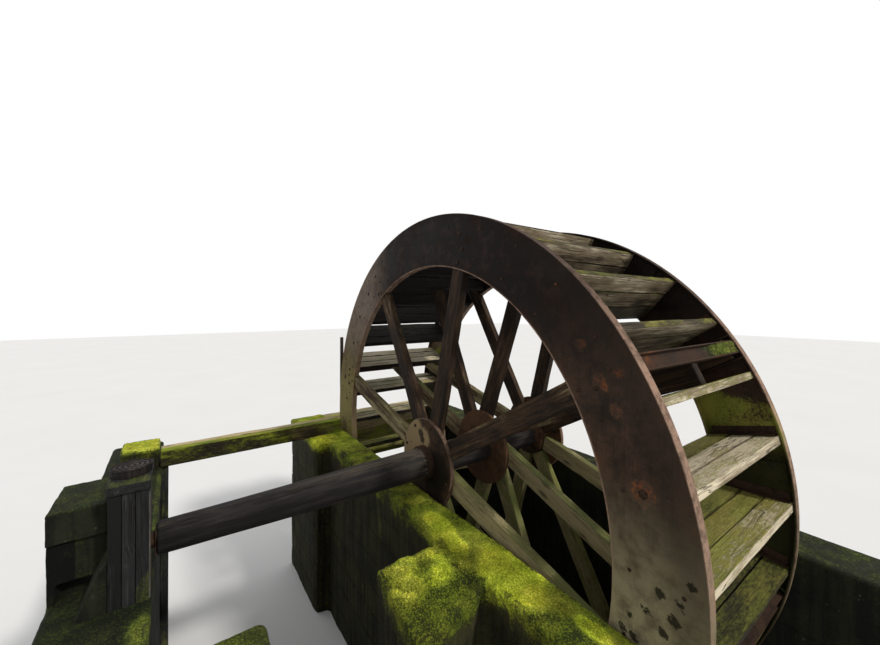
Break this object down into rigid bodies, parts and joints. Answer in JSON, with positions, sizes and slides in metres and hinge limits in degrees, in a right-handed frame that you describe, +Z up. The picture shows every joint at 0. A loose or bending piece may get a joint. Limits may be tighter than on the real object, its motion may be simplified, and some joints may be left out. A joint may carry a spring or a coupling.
{
  "type": "undershot waterwheel with race walls and bearings",
  "caption": "Undershot waterwheel with iron shroud rings, timber arms and floats on a tapered shaft, set between mossy race walls with a timber bearing support and beams.",
  "frame": {"origin": "on the floor of the race, under the middle of the outline", "axes": "+X along the shaft from the bank to the far wall, +Y along the race, +Z up"},
  "size_m": [4.522, 6, 4.6899],
  "materials": {
    "ring_iron": "rusted plate, worn bright on its edges",
    "hub_iron": "rusted casting",
    "hoop_iron": "dark rusted iron",
    "arm_timber": "weathered sawn timber",
    "shaft_timber": "weathered hewn timber",
    "float_boards": "bleached boards with algae",
    "post_timber": "dark wet timber",
    "log_timber": "end grain with bark",
    "beam_timber": "timber under moss",
    "mossy_masonry": "rough masonry under moss"
  },
  "bodies": {
    "race": {"race_wall": "mossy_masonry", "race_wall_head": "mossy_masonry", "race_stub": "mossy_masonry", "far_wall": "mossy_masonry", "bank_wall": "mossy_masonry", "bank_stub": "mossy_masonry", "bank_pad": "mossy_masonry", "bank_block": "mossy_masonry", "bank_lintel": "mossy_masonry", "haunch": "mossy_masonry", "post_1": "post_timber", "post_2": "post_timber", "post_3": "post_timber", "post_cap": "post_timber", "log_round": "log_timber", "bearing_bank": "hoop_iron", "post_strap": "hoop_iron", "cross_beam": "beam_timber", "beam_post": "beam_timber", "tail_beam_1": "beam_timber", "tail_beam_2": "beam_timber", "tail_boards": "beam_timber", "tail_stake": "post_timber", "bearing_far": "hoop_iron", "bearing_bed": "post_timber"},
    "wheel": {"ring_near": "ring_iron", "ring_far": "ring_iron", "arms_near": "arm_timber", "arms_middle": "arm_timber", "arms_far": "arm_timber", "cross_ties": "ring_iron", "hub_near": "hub_iron", "hub_middle": "hub_iron", "hub_far": "hub_iron", "shaft": "shaft_timber", "shaft_tail": "shaft_timber", "shaft_hoops": "hoop_iron", "gudgeon_bank": "hoop_iron", "gudgeon_far": "hoop_iron", "floats_1": "float_boards", "floats_2": "float_boards", "floats_3": "float_boards", "floats_4": "float_boards", "float_irons_near": "ring_iron", "float_irons_far": "ring_iron"}
  },
  "joints": [
    {"name": "wheel_spin", "type": "hinge", "parent": "race", "child": "wheel", "pos_m": [0, 0, 2.405], "axis": [1, 0, 0], "continuous": true}
  ]
}
